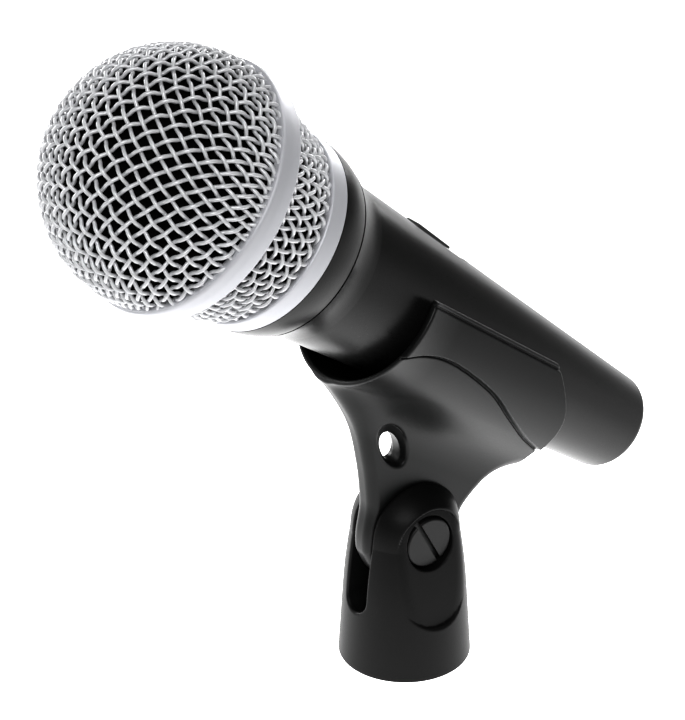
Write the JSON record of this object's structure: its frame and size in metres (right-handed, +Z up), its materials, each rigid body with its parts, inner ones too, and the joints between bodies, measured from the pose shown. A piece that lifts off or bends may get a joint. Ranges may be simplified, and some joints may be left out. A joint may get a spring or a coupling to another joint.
{
  "type": "dynamic microphone",
  "caption": "Handheld dynamic microphone with a woven-wire ball head and tapered handle, lying in a tilting stand clip on a threaded fork adapter.",
  "frame": {"origin": "centre of the stand adapter's mouth, on the stand thread's axis, in the plane of the adapter's base", "axes": "+Z up along the stand thread, the microphone in the XZ plane with its ball towards -X, the tilt pivot along Y with the screw's head on the -Y side"},
  "size_m": [0.1461, 0.0544, 0.1544],
  "materials": {
    "grille_wire": "matte silver wire",
    "silver_paint": "satin silver paint",
    "charcoal_enamel": "satin charcoal enamel",
    "black_foam": "open-cell foam",
    "black_plastic": "moulded black",
    "clear_film": "thin film",
    "copper": "enamelled winding",
    "iron": "plated iron",
    "magnet": "nickel-plated magnet",
    "rubber": "soft rubber",
    "lead_sleeve": "insulated lead",
    "black_steel": "black-oxide steel",
    "pin_plating": "plated contacts",
    "clip_plastic": "satin charcoal moulding",
    "adapter_plastic": "matte black moulding",
    "screw_plastic": "black slotted screw",
    "brass": "machined brass",
    "washer_fibre": "pressed fibre"
  },
  "bodies": {
    "adapter": {"stand_adapter": "adapter_plastic", "thread_insert": "brass", "pivot_nut": "black_steel"},
    "pivot_screw": {"pivot_screw": "screw_plastic"},
    "clip": {"clip_body": "clip_plastic", "friction_washers": "washer_fibre"},
    "mic": {"handle_shell": "charcoal_enamel", "shock_mount": "rubber", "cartridge_case": "black_plastic", "resonator_cap": "black_plastic", "pole_piece": "iron", "magnet": "magnet", "magnet_yoke": "iron", "rear_chamber": "black_plastic", "transformer_core": "iron", "transformer_winding": "copper", "signal_leads": "lead_sleeve", "switch_body": "black_plastic", "switch_plate": "black_steel", "switch_screws": "black_steel", "xlr_insert": "black_plastic", "xlr_pins": "pin_plating", "xlr_ground_lug": "pin_plating", "xlr_set_screw": "black_steel"},
    "moving_coil": {"diaphragm": "clear_film", "voice_coil": "copper"},
    "grille": {"grille_dome": "grille_wire", "grille_band": "silver_paint", "grille_skirt": "grille_wire", "grille_ring": "silver_paint", "name_ring": "charcoal_enamel", "foam_liner": "black_foam"},
    "switch": {"switch_slider": "black_plastic"}
  },
  "joints": [
    {"name": "clip_tilt", "type": "hinge", "parent": "adapter", "child": "clip", "pos_m": [0, 0, 0.0315], "axis": [0, 1, 0], "range_deg": [-95, 65]},
    {"name": "pivot_screw_turn", "type": "hinge", "parent": "adapter", "child": "pivot_screw", "pos_m": [0, 0, 0.0315], "axis": [0, -1, 0], "range_deg": [0, 720]},
    {"name": "mic_slide", "type": "slide", "parent": "clip", "child": "mic", "axis": [-0.7902, 0, 0.6129], "range_m": [0, 0.09]},
    {"name": "coil_travel", "type": "slide", "parent": "mic", "child": "moving_coil", "axis": [0.7902, 0, -0.6129], "range_m": [-0.0002, 0.0002], "stiffness_N_per_m": 80},
    {"name": "grille_slide", "type": "slide", "parent": "mic", "child": "grille", "axis": [-0.7902, 0, 0.6129], "range_m": [0, 0.06]},
    {"name": "switch_slide", "type": "slide", "parent": "mic", "child": "switch", "axis": [0.7505, 0, -0.6609], "range_m": [0, 0.0034]}
  ]
}
